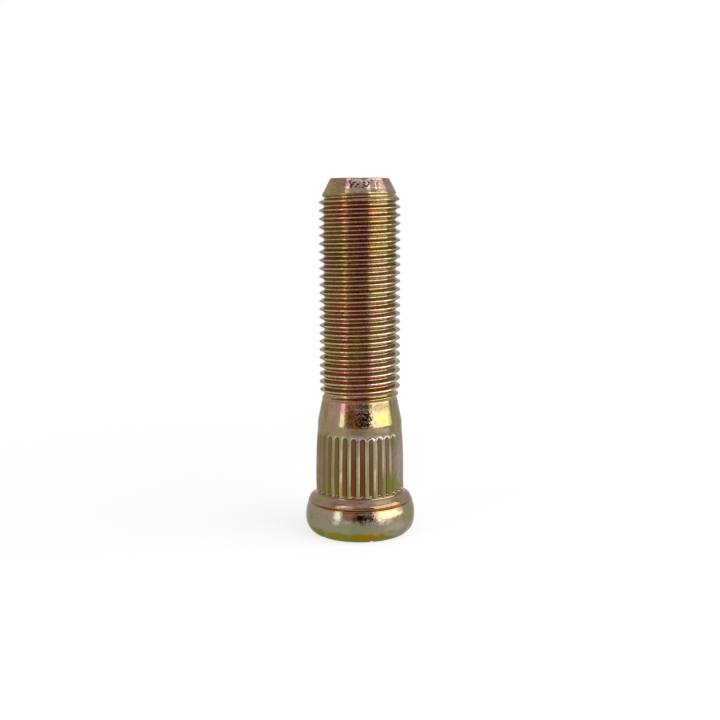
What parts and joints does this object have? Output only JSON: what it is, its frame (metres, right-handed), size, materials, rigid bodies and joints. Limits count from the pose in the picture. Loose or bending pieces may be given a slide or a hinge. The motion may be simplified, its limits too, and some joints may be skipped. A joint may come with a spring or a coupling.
{
  "type": "wheel stud",
  "caption": "Press-in wheel stud with a fine threaded shank, a conical tip, a splined shank and a round domed head.",
  "frame": {"origin": "centre of the flat face under the head, which the stud stands on", "axes": "+Z along the stud's axis, from the head to the threaded tip"},
  "size_m": [0.0174, 0.0174, 0.0558],
  "materials": {
    "plated_steel": "yellow zinc plated, satin, with green, pink and brown tints"
  },
  "bodies": {
    "root": {"wheel_stud": "plated_steel"}
  },
  "joints": []
}
